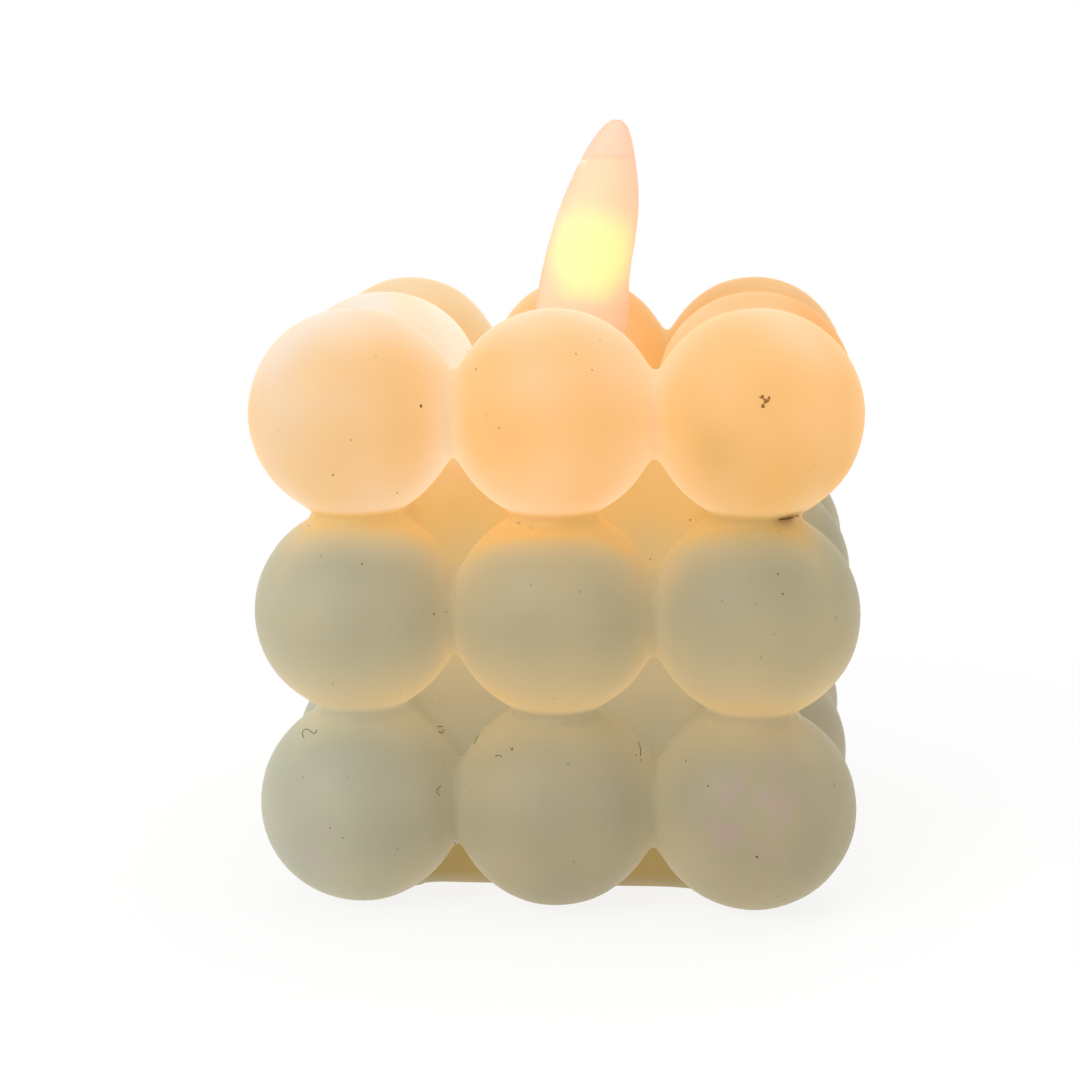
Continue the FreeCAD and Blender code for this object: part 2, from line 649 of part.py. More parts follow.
def wire_x(side):
    return f"({side})*led_lead_pitch/2*cos(led_tilt) + {LEAD_END_X}"


for label, side in (("wire_red", "1"), ("wire_black", "-1")):
    nodes[label] = body(label)
    ring(nodes[label], "wire_diameter/2", None, Z_WIRE, f"{LEAD_END_Z} - wire_top_gap - {Z_WIRE}",
         wire_x(side))

# Top cover
# The module's lid: a plate with a locating lip, two screw posts, a snap hook and the long stem.
SIDES = ("-1", "1")
cover = body("top_cover")
ring(cover, R_HOUSING, None, Z_COVER, "cover_thickness")
ring(cover, f"{STEM_OUT}/2", None, Z_COVER_TOP, f"{Z_FLAME} - {Z_COVER_TOP}")
LIP_R = f"({R_INSIDE} - lip_gap)"
ring(cover, LIP_R, f"{LIP_R} - lip_wall", f"{Z_COVER} - lip_height", "lip_height")
for side in SIDES:
    ring(cover, POST_R, None, Z_BOARD_TOP, "top_room", f"({side})*{SCREW_X}", SCREW_Y)
HOOK_Y = f"(sqrt({LIP_R}*{LIP_R} - hook_width*hook_width/4) - lip_wall/2)"
slab(cover, "0", HOOK_Y, "hook_width", "lip_wall", f"{Z_COVER} - hook_length", "hook_length")
slab(cover, "0", f"{HOOK_Y} + hook_barb/2", "hook_width", "lip_wall + hook_barb",
     f"{Z_COVER} - hook_length", "hook_barb")
hole(cover, f"{STEM_BORE}/2", Z_COVER, f"{Z_FLAME} - {Z_COVER}")
for side in SIDES:
    hole(cover, "screw_diameter/2", Z_BOARD_TOP, "screw_bite + screw_gap", f"({side})*{SCREW_X}", SCREW_Y)
nodes["top_cover"] = cover

# Base housing
# A shallow cup with the battery ring, the bayonet notches, the switch window and two screw bosses.
base = body("base_housing")
WELL = f"({Z_BOARD} - {Z_PLATE})"
ring(base, R_HOUSING, None, "module_gap", f"{Z_COVER} - module_gap")
hole(base, R_INSIDE, Z_PLATE, f"{Z_COVER} - {Z_PLATE}")
R_RING = f"({R_DOOR} + ring_gap)"
ring(base, f"{R_RING} + ring_wall", R_RING, Z_PLATE, WELL, "0", CELL_Y)
SWEEP = f"2*({R_LUG}*sin(lug_angle) + lug_width/2 + 2*notch_gap)"
slot(base, "0", CELL_Y, f"2*{R_INSIDE}", SWEEP, Z_PLATE, WELL)
slot(base, "0", f"{CELL_Y} - {R_RING}", f"{SWITCH_LONG} + 2*switch_end", "ring_break", Z_PLATE, WELL)
BOSS_R = f"({HEAD_R} + screw_gap + boss_wall)"
for side in SIDES:
    ring(base, BOSS_R, None, Z_PLATE, WELL, f"({side})*{SCREW_X}", SCREW_Y)
hole(base, f"{R_DOOR} + door_gap", "module_gap", "housing_floor", "0", CELL_Y)
REACH = f"({R_LUG} + notch_gap)"
for turn in ("lug_angle", "(lug_angle + 180)"):
    slot(base, f"{REACH}/2*cos({turn})", f"{CELL_Y} + {REACH}/2*sin({turn})", REACH,
         "lug_width + 2*notch_gap", "module_gap", "housing_floor", turn)
WINDOW = "(knob_length + switch_travel + 2*slider_gap)"
WINDOW_WIDE = "(knob_width + 2*slider_gap)"
slot(base, "0", SWITCH_Y, WINDOW, WINDOW_WIDE, "module_gap", "housing_floor")
for side in SIDES:
    x = f"({side})*{SCREW_X}"
    hole(base, "screw_diameter/2 + screw_gap", "module_gap", f"{Z_BOARD} - module_gap", x, SCREW_Y)
    hole(base, f"{HEAD_R} + screw_gap", "module_gap", "screw_head_height + screw_gap", x, SCREW_Y)
slot(base, "0", f"{HOOK_Y} + lip_wall/2 + housing_wall", "hook_width + 2*hook_gap", "2*housing_wall",
     f"{Z_COVER} - hook_length - hook_gap", "hook_barb + 2*hook_gap")
nodes["base_housing"] = base

# Housing screws
screws = []
Z_HEAD = "(module_gap + screw_gap)"
for side in SIDES:
    b = body("screw")
    x = f"({side})*{SCREW_X}"
    ring(b, HEAD_R, None, Z_HEAD, "screw_head_height", x, SCREW_Y)
    ring(b, "screw_diameter/2", None, f"{Z_HEAD} + screw_head_height",
         f"{Z_BOARD_TOP} + screw_bite - {Z_HEAD} - screw_head_height", x, SCREW_Y)
    screws.append(b)
nodes["housing_screws"] = group("housing_screws", screws)

# Glue dabs between the module and the wax
GLUE_R = f"({R_HOUSING} - glue_diameter)"
nodes["glue_dabs"] = group("glue_dabs", [
    rod(f"{GLUE_R}*cos({a})", f"{GLUE_R}*sin({a})", Z_COVER_TOP, "glue_diameter/2", "glue_thickness")
    for a in ("90", "210", "330")])

# Battery door
# A round quarter-turn lid: disc with a coin slot outside, a dished inside and two bayonet lugs.
door = body("battery_door")
ring(door, R_DOOR, None, "module_gap", DOOR_HIGH, "0", CELL_Y)
for turn in ("(-lug_angle)", "(180 - lug_angle)"):
    slab(door, f"{R_LUG}/2*cos({turn})", f"{CELL_Y} + {R_LUG}/2*sin({turn})", R_LUG, "lug_width",
         f"{Z_PLATE} + lug_gap", "lug_height", turn)
hole(door, "cell_diameter/2 - door_ledge", f"module_gap + {DOOR_HIGH} - door_dish_depth",
     "door_dish_depth", "0", CELL_Y)
slot(door, "0", CELL_Y, "coin_slot_length", "coin_slot_width", "module_gap", "coin_slot_depth")
nodes["battery_door"] = door

# Coin cell: the can and the smaller cap on it
cell = body("coin_cell")
ring(cell, "cell_diameter/2", None, Z_CELL, "cell_height - cell_cap_height", "0", CELL_Y)
ring(cell, "cell_diameter/2 - cell_cap_step", None, f"{Z_CELL} + cell_height - cell_cap_height",
     "cell_cap_height", "0", CELL_Y)
nodes["coin_cell"] = cell

# Circuit board
PINS = ("-1", "0", "1")
board = body("circuit_board")
ring(board, f"{R_INSIDE} - board_clearance", None, Z_BOARD, "board_thickness")
for side in SIDES:
    hole(board, "screw_diameter/2 + screw_gap", Z_BOARD, "board_thickness", f"({side})*{SCREW_X}", SCREW_Y)
for n in PINS:
    slot(board, f"({n})*pin_pitch", SWITCH_Y, "pin_size + 2*pin_hole_gap", "pin_size + 2*pin_hole_gap",
         Z_BOARD, "board_thickness")
nodes["circuit_board"] = board

# Parts on the board
blob = body("controller_blob")
s = sketch(blob, "XZ_Plane")
BLOB_R = "(blob_diameter*blob_diameter/8/blob_height + blob_height/2)"
flat = s.addGeometry(Part.LineSegment(V(0, 0, 0), V(val("blob_diameter") / 2, 0, 0)), False)
cap = arc(s, ("0", f"blob_height - {BLOB_R}"), BLOB_R, ("blob_diameter/2", "0"), ("0", "blob_height"))
rise = s.addGeometry(Part.LineSegment(V(0, val("blob_height"), 0), V(0, 0, 0)), False)
link(s, flat, 1, -1, 1)
link(s, flat, 2, cap, 1)
link(s, cap, 2, rise, 1)
link(s, rise, 2, flat, 1)
s.addConstraint(Sketcher.Constraint("PointOnObject", cap, 1, -1))
s.addConstraint(Sketcher.Constraint("PointOnObject", cap, 2, -2))
size(s, "Radius", cap, BLOB_R)
revolve(blob, s)
blob.setExpression("Placement.Base.x", ex(f"-({R_INSIDE} - board_clearance - blob_margin - blob_diameter/2)"))
blob.setExpression("Placement.Base.y", ex("blob_y"))
blob.setExpression("Placement.Base.z", ex(Z_BOARD_TOP))
nodes["controller_blob"] = blob

CHIP_X = f"({STEM_BORE}/2 + chip_length)"
nodes["chip_resistors"] = group("chip_resistors", [
    block(CHIP_X, f"({n})*chip_spacing", Z_BOARD_TOP, "chip_length", "chip_width", "chip_height")
    for n in ("1", "2")])
nodes["chip_capacitor"] = block(CHIP_X, "-chip_spacing", Z_BOARD_TOP, "chip_width", "chip_length",
                                "chip_height")

# Slide switch
CAVITY = "(slider_height + wiper_thickness + 2*slider_gap)"
Z_PIN = f"({Z_SWITCH} + {CAVITY})"
switch = body("switch_base")
slab(switch, "0", SWITCH_Y, SWITCH_LONG, SWITCH_WIDE, Z_SWITCH, SWITCH_HIGH)
slot(switch, "0", SWITCH_Y, f"{SWITCH_LONG} - 2*switch_end", f"{SWITCH_WIDE} - 2*switch_wall", Z_SWITCH,
     CAVITY)
for n in PINS:
    slot(switch, f"({n})*pin_pitch", SWITCH_Y, "pin_size", "pin_size", Z_PIN, "switch_roof")
nodes["switch_base"] = switch

frame = body("switch_frame")
Z_FRAME = f"({Z_SWITCH} - switch_frame)"
slab(frame, "0", SWITCH_Y, f"2*{CORNER_X}", f"{SWITCH_WIDE} - 2*slider_gap", Z_FRAME,
     f"{SWITCH_HIGH} + switch_frame")
slot(frame, "0", SWITCH_Y, SWITCH_LONG, SWITCH_WIDE, Z_SWITCH, SWITCH_HIGH)
slot(frame, "0", SWITCH_Y, WINDOW, WINDOW_WIDE, Z_FRAME, "switch_frame")
nodes["switch_frame"] = frame

pins = [block(f"({n})*pin_pitch", SWITCH_Y, Z_PIN, "pin_size", "pin_size", f"{Z_WIRE} - {Z_PIN}")
        for n in PINS]
nodes["switch_pins"] = group("switch_pins", pins)

# The moving part of the switch rests at the lit end of its travel, towards +X.
slider = body("switch_slider")
KNOB_X = "switch_travel/2"
KNOB_END = "(module_gap + knob_recess)"
Z_SLIDER = f"({Z_SWITCH} + slider_gap)"
slab(slider, KNOB_X, SWITCH_Y, "slider_length", "slider_width", Z_SLIDER, "slider_height")
slab(slider, KNOB_X, SWITCH_Y, "knob_length", "knob_width", KNOB_END, f"{Z_SLIDER} - {KNOB_END}")
nodes["switch_slider"] = slider
nodes["switch_wiper"] = block(KNOB_X, SWITCH_Y, f"{Z_SLIDER} + slider_height", "wiper_length", "wiper_width",
                              "wiper_thickness")

# Solder cones on the board's upper side
joints = []
pin_tool = fuse("pins in solder", pins)
for n in PINS:
    cone = solid("Part::Cone", {"Radius1": "solder_radius", "Radius2": "solder_radius/2",
                                "Height": "solder_height"}, (f"({n})*pin_pitch", SWITCH_Y, Z_BOARD_TOP))
    joints.append(minus("pin joint", cone, pin_tool))
for side in SIDES:
    at = (wire_x(side), "0", Z_BOARD_TOP)
    joints.append(solid("Part::Cone", {"Radius1": "solder_radius", "Radius2": "solder_radius/2",
                                       "Height": "solder_height"}, at))
nodes["solder_joints"] = group("solder_joints", joints)


# Battery contacts: one strip over the cell's cap, one tab beside its can
def strip(label, role, points, centre):
    b = body(label)
    s = sketch(b, role, centre)
    polygon(s, points)
    pad(b, s, "contact_width", both=True)
    return b


T = "contact_thickness"
Z_CAP = f"({Z_CELL} + cell_height + contact_touch)"
Z_FOOT = f"({Z_BOARD} - {T})"
y0 = f"({CELL_Y} + cell_diameter/2 - cell_cap_step)"
y1 = f"({y0} - contact_foot)"
y2 = f"({y1} - contact_slope)"
y3 = f"({y2} - contact_lip)"
nodes["contact_negative"] = strip("contact_negative", "YZ_Plane", [
    (y0, Z_BOARD), (y1, Z_BOARD), (y2, f"{Z_CAP} + {T}"), (y3, f"{Z_CAP} + 2*{T}"), (y3, f"{Z_CAP} + {T}"),
    (y2, Z_CAP), (y1, Z_FOOT), (y0, Z_FOOT)], "0")
x0 = "(cell_diameter/2 + contact_touch)"
low = f"{Z_CELL} + tab_rise"
nodes["contact_positive"] = strip("contact_positive", "XZ_Plane", [
    (x0, low), (f"{x0} + {T}", low), (f"{x0} + {T}", Z_FOOT), (f"{x0} + tab_foot", Z_FOOT),
    (f"{x0} + tab_foot", Z_BOARD), (x0, Z_BOARD)], f"-{CELL_Y}")

# Check and write
doc.recompute()
for o in doc.Objects:
    if any(flag in o.State for flag in ("Invalid", "Error")):
        raise RuntimeError(f"{o.Name} {o.Label} {o.State}")
for name, o in nodes.items():
    o.Label = name
    shape = o.Shape
    if shape.isNull() or not shape.isValid() or not shape.Solids:
        raise RuntimeError(f"bad shape in {name}")
    shape.exportStep(os.path.join("parts", name + ".step"))
print(len(nodes), "nodes written")
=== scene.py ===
import math

import bmesh
import bpy
import numpy as np
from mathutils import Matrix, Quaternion, Vector
from mathutils.bvhtree import BVHTree


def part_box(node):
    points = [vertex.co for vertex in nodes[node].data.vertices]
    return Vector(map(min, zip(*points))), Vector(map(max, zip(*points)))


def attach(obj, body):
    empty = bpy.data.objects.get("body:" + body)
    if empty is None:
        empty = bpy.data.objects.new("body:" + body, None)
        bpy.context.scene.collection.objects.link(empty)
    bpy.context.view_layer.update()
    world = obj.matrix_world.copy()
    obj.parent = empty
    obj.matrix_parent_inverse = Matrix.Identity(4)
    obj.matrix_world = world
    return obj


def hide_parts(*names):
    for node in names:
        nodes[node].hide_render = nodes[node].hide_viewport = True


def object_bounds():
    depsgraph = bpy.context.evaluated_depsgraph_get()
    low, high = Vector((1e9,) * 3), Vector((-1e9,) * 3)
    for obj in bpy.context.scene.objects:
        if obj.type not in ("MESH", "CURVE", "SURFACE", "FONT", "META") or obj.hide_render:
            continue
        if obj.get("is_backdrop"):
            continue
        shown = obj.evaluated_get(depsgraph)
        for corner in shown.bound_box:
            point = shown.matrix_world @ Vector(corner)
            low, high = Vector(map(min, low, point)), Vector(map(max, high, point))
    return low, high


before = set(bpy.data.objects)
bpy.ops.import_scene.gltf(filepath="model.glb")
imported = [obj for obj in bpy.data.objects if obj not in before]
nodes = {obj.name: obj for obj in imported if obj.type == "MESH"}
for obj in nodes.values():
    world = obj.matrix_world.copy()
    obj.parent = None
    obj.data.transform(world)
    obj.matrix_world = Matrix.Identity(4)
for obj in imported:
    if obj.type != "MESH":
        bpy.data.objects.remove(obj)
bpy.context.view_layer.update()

# Camera
# A long lens a little above the top balls and slightly to the right, as the photograph was taken.
eye = Vector((0.01685, -0.22764, 0.0788))
aim = Vector((-0.0032, 0.0, 0.03335))
camera_data = bpy.data.cameras.new("camera")
camera_data.lens = 71.65
camera_data.clip_start = 0.01
camera = bpy.data.objects.new("camera", camera_data)
camera.rotation_mode = "QUATERNION"
camera.location = eye
camera.rotation_quaternion = (aim - eye).to_track_quat("-Z", "Y") @ Quaternion((0, 0, 1), math.radians(-0.44))
bpy.context.scene.collection.objects.link(camera)
bpy.context.scene.camera = camera
bpy.context.scene.view_settings.view_transform = "Standard"


# Floor, background and light
# Plain white studio: a white floor, white all round, one broad soft lamp at the front left and one above. The
# floor is clear from below and under the module, so that light and sight reach the candle's underside.
def linear(hex_colour):
    out = []
    for i in (1, 3, 5):
        c = int(hex_colour[i:i + 2], 16) / 255
        out.append(c / 12.92 if c <= 0.04045 else ((c + 0.055) / 1.055) ** 2.4)
    return (*out, 1.0)


def add(tree, kind, **settings):
    """Add a node; settings name its properties, or its sockets with spaces written as underscores."""
    node = tree.nodes.new("ShaderNode" + kind)
    for key, value in settings.items():
        if hasattr(node, key):
            setattr(node, key, value)
            continue
        socket = node.inputs[int(key[1:]) if key[1:].isdigit() else key.replace("_", " ")]
        if isinstance(value, bpy.types.NodeSocket):
            tree.links.new(value, socket)
        else:
            socket.default_value = value
    return node


def material(name):
    m = bpy.data.materials.new(name)
    m.use_nodes = True
    m.node_tree.nodes.clear()
    return m, m.node_tree


def finish_material(tree, shader):
    out = tree.nodes.new("ShaderNodeOutputMaterial")
    tree.links.new(shader, out.inputs["Surface"])


def sees_background(tree):
    """One for the rays that should meet plain white: those of the camera, of gloss and of clear pieces."""
    path = add(tree, "LightPath")
    mirrored = add(tree, "Math", operation="MAXIMUM", i0=path.outputs["Is Glossy Ray"],
                   i1=path.outputs["Is Transmission Ray"])
    seen = add(tree, "Math", operation="MAXIMUM", i0=path.outputs["Is Camera Ray"], i1=mirrored.outputs[0])
    return seen.outputs[0]


world = bpy.data.worlds.new("white studio")
bpy.context.scene.world = world
world.use_nodes = True
tree = world.node_tree
tree.nodes.clear()
soft = add(tree, "Background", Color=(1.0, 1.0, 1.0, 1.0), Strength=0.62)
white = add(tree, "Background", Color=(1.0, 1.0, 1.0, 1.0), Strength=1.0)
mix = add(tree, "MixShader", i0=sees_background(tree), i1=soft.outputs[0], i2=white.outputs[0])
out = tree.nodes.new("ShaderNodeOutputWorld")
tree.links.new(mix.outputs[0], out.inputs["Surface"])

floor_mesh = bpy.data.meshes.new("floor")
reach = 3.0
floor_mesh.from_pydata([(-reach, -reach, 0), (reach, -reach, 0), (reach, reach, 0), (-reach, reach, 0)], [],
                       [(0, 1, 2, 3)])
floor = bpy.data.objects.new("floor", floor_mesh)
bpy.context.scene.collection.objects.link(floor)
m, tree = material("white studio paper")
coords = add(tree, "TexCoord")
flat = add(tree, "VectorMath", operation="MULTIPLY", i0=coords.outputs["Object"])
flat.inputs[1].default_value = (1.0, 1.0, 0.0)
away = add(tree, "VectorMath", operation="LENGTH", i0=flat.outputs[0])
fade = add(tree, "MapRange", Value=away.outputs["Value"], From_Min=0.04, From_Max=0.11, To_Min=0.84, To_Max=1.0)
hide = add(tree, "Math", operation="MULTIPLY", i0=sees_background(tree), i1=fade.outputs[0])
paper = add(tree, "BsdfDiffuse", Color=linear("#f6f6f4"))
glow = add(tree, "Emission", Color=(1.0, 1.0, 1.0, 1.0), Strength=1.0)
mix = add(tree, "MixShader", i0=hide.outputs[0], i1=paper.outputs[0], i2=glow.outputs[0])
side = add(tree, "NewGeometry")
clear = add(tree, "BsdfTransparent")
under = add(tree, "Math", operation="LESS_THAN", i0=away.outputs["Value"], i1=0.0155)
open_below = add(tree, "Math", operation="MAXIMUM", i0=side.outputs["Backfacing"], i1=under.outputs[0])
one_sided = add(tree, "MixShader", i0=open_below.outputs[0], i1=mix.outputs[0], i2=clear.outputs[0])
finish_material(tree, one_sided.outputs[0])
floor_mesh.materials.append(m)
floor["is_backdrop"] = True

for name, place, size, power in (("front left lamp", (-0.45, -0.6, 0.5), 0.5, 3.4),
                                 ("top lamp", (0.1, 0.1, 0.9), 0.7, 3.0)):
    lamp_data = bpy.data.lights.new(name, "AREA")
    lamp_data.size = size
    lamp_data.energy = power
    lamp = bpy.data.objects.new(name, lamp_data)
    lamp.location = place
    lamp.rotation_mode = "QUATERNION"
    lamp.rotation_quaternion = (Vector((0, 0, 0.03)) - Vector(place)).to_track_quat("-Z", "Y")
    bpy.context.scene.collection.objects.link(lamp)

# Wax body
# One casting of pale wax from a mould of three by three by three balls, the top middle one left out. The balls
# run into each other in soft necks. The lamp's light in the well is painted into the wax as a glow, orange near it
# and grey far off, and the studio lamps' light and shade are painted into the wax's colour as well.
PITCH, BALL, CORE, FLOOR, TRIM = 19.8, 10.4, 16.2, 47.65, 0.15
WEB_INSET, WEB_HALF = 1.8, 2.0
POCKET_RADIUS, POCKET_TOP, BORE_RADIUS = 14.7, 12.7, 5.1
ROWS = [BALL - TRIM + n * PITCH for n in range(3)]
WAX_CENTRES = np.array([(i * PITCH, j * PITCH, z) for z in ROWS for i in (-1, 0, 1) for j in (-1, 0, 1)
                        if i or j])


def wax_distance(p):
    """Signed distance in millimetres to the melted-together balls, core and webs, less the module's pocket."""
    x, y, z = p.T
    melt = 0.6
    near = np.zeros(len(p))
    for c in WAX_CENTRES:
        near += np.exp(-(np.linalg.norm(p - c, axis=1) - BALL) / melt)
    u, v = (x + y) / math.sqrt(2), (x - y) / math.sqrt(2)
    web = math.sqrt(2) * (PITCH - WEB_INSET)
    for a, b, half_a, half_b in ((x, y, CORE, CORE), (u, v, web, WEB_HALF), (u, v, WEB_HALF, web)):
        q = np.stack([np.abs(a) - half_a, np.abs(b) - half_b, z - FLOOR])
        d = np.linalg.norm(np.maximum(q, 0), axis=0) + np.minimum(q.max(axis=0), 0)
        near += np.exp(-d / melt)
    lump = -melt * np.log(near)
    radius = np.hypot(x, y)
    pocket = np.maximum(radius - POCKET_RADIUS, z - POCKET_TOP)
    return np.maximum.reduce([lump, -z, -pocket, BORE_RADIUS - radius])


def wax_slope(p):
    step = 0.02
    g = [(wax_distance(p + e) - wax_distance(p - e)) / (2 * step) for e in np.eye(3) * step]
    return np.stack(g, axis=1)


wax_mesh = nodes["wax_body"].data.copy()
wax = bpy.data.objects.new("wax_casting", wax_mesh)
bpy.context.scene.collection.objects.link(wax)
remesh = wax.modifiers.new("remesh", "REMESH")
remesh.mode = "VOXEL"
remesh.voxel_size = 0.0009
made = bpy.data.meshes.new_from_object(wax.evaluated_get(bpy.context.evaluated_depsgraph_get()))
wax.modifiers.clear()
wax.data = made
bpy.data.meshes.remove(wax_mesh)


def vertex_points(mesh):
    flat = np.empty(len(mesh.vertices) * 3, np.float32)
    mesh.vertices.foreach_get("co", flat)
    return flat.reshape(-1, 3).astype(float) * 1000


# The creases between balls are tighter than the grid, so the faces there are split once more.
points = vertex_points(made)
reaches = np.sort(np.stack([np.linalg.norm(points - c, axis=1) for c in WAX_CENTRES]), axis=0)
in_crease = (reaches[1] - reaches[0] < 1.6) & (reaches[0] < BALL + 0.8)
bm = bmesh.new()
bm.from_mesh(made)
bm.verts.ensure_lookup_table()
split = [e for e in bm.edges if in_crease[e.verts[0].index] and in_crease[e.verts[1].index]]
bmesh.ops.subdivide_edges(bm, edges=split, cuts=2, use_grid_fill=True)
bmesh.ops.triangulate(bm, faces=[f for f in bm.faces if len(f.verts) > 4])
bm.to_mesh(made)
bm.free()
points = vertex_points(made)
count = len(points)
edges = np.empty(len(made.edges) * 2, np.int32)
made.edges.foreach_get("vertices", edges)
edges = edges.reshape(-1, 2)
ends = np.concatenate([edges[:, 0], edges[:, 1]])
others = np.concatenate([edges[:, 1], edges[:, 0]])
neighbours = np.maximum(np.bincount(ends, minlength=count), 1)
for turn in range(9):
    slope = wax_slope(points)
    move = wax_distance(points) / np.maximum((slope ** 2).sum(1), 0.15)
    points -= slope * np.clip(move, -0.5, 0.5)[:, None]
    if turn < 4:
        mean = np.stack([np.bincount(ends, points[others, i], count) / neighbours for i in range(3)], axis=1)
        shift = (mean - points) * 0.5
        unit = slope / np.maximum(np.linalg.norm(slope, axis=1), 0.1)[:, None]
        points += shift - unit * (shift * unit).sum(1)[:, None]
# Hand-poured wax: the skin sinks unevenly by less than a tenth of a millimetre as it cools.
x, y, z = points.T
sink = (np.sin(0.31 * x + 1.3) * np.sin(0.27 * y + 0.4) * np.sin(0.35 * z) + np.sin(0.83 * x + 0.71 * z) * 0.4
        + np.sin(0.77 * y - 0.64 * z + 2.0) * 0.4)
outer = (np.maximum(np.abs(x), np.abs(y)) > CORE - 0.5) | (z > 46)
points -= slope * (np.clip(0.05 + 0.04 * sink, 0, 0.1) * outer)[:, None]
low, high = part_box("wax_body")
points = np.clip(points, np.array(low) * 1000, np.array(high) * 1000)
made.vertices.foreach_set("co", (points / 1000).astype(np.float32).ravel())
made.polygons.foreach_set("use_smooth", np.ones(len(made.polygons), bool))
made.update()


wax_tree = BVHTree.FromPolygons([tuple(v) for v in points], [tuple(f.vertices) for f in made.polygons])


def wax_point(across, down):
    """Point on the wax, in millimetres, behind a place given in the photograph's 1080 by 1080 frame."""
    half = 18 / camera_data.lens
    ray = Vector(((across / 540 - 1) * half, (1 - down / 540) * half, -1))
    hit = wax_tree.ray_cast(eye * 1000, camera.rotation_quaternion @ ray)
    return np.array(hit[0])


def smooth_step(value, start, end):
    t = np.clip((value - start) / (end - start), 0, 1)
    return t * t * (3 - 2 * t)


def ramp(value, stops):
    """Colours in linear light between stops of (value, hex)."""
    places = [s[0] for s in stops]
    colours = np.array([linear(s[1])[:3] for s in stops])
    return np.stack([np.interp(value, places, colours[:, i]) for i in range(3)], axis=1)


x, y, z = points.T
# Masks for the painted light and shade: rim for the brighter, warmer edges of each ball where light shows through
# thin wax, gap for the glow in the gaps, left, right, middle and back for where the studio lamps and the well's lamp
# light the wax more or less, crease for painted warm light in the necks, lamp_distance for the lamp's glow. Drift is
# a random shift.
outward = (np.maximum(np.abs(x), np.abs(y)) - PITCH) / BALL
rim = smooth_step(outward, 0.85, 0.1)
gap = smooth_step(outward, 0.0, -0.3) * smooth_step(z, 0.2, 1.5)
left = smooth_step(-x, 5, 28)
right = smooth_step(x, 6, 24)
middle = 1 - smooth_step(np.abs(x), 4, 16)
back = smooth_step(y, -8, 24)
across = np.where(np.abs(y) > np.abs(x), np.abs(x), np.abs(y))
crease = np.exp(-((across - PITCH / 2) / 1.7) ** 2) * rim * (1 - gap)
lamp_distance = np.linalg.norm(points - np.array([2.3, 0.0, 60.0]), axis=1)
drift = 0.04 * np.sin(0.21 * x + 0.13 * z + 0.6) * np.sin(0.17 * z - 0.12 * y + 1.1)
drift += 0.03 * np.sin(0.43 * x - 0.29 * z + 1.9) * np.sin(0.37 * z + 0.31 * x + 0.31 * y)
# Warmth of the light that comes through a gap between balls, up the height of the cube
gap_heat = np.interp(z, [0, 8, 16, 20, 24, 28, 32, 36, 40, 44, 48],
                     [0.12, 0.1, 0.15, 0.24, 0.36, 0.41, 0.47, 0.54, 0.66, 0.76, 0.85])


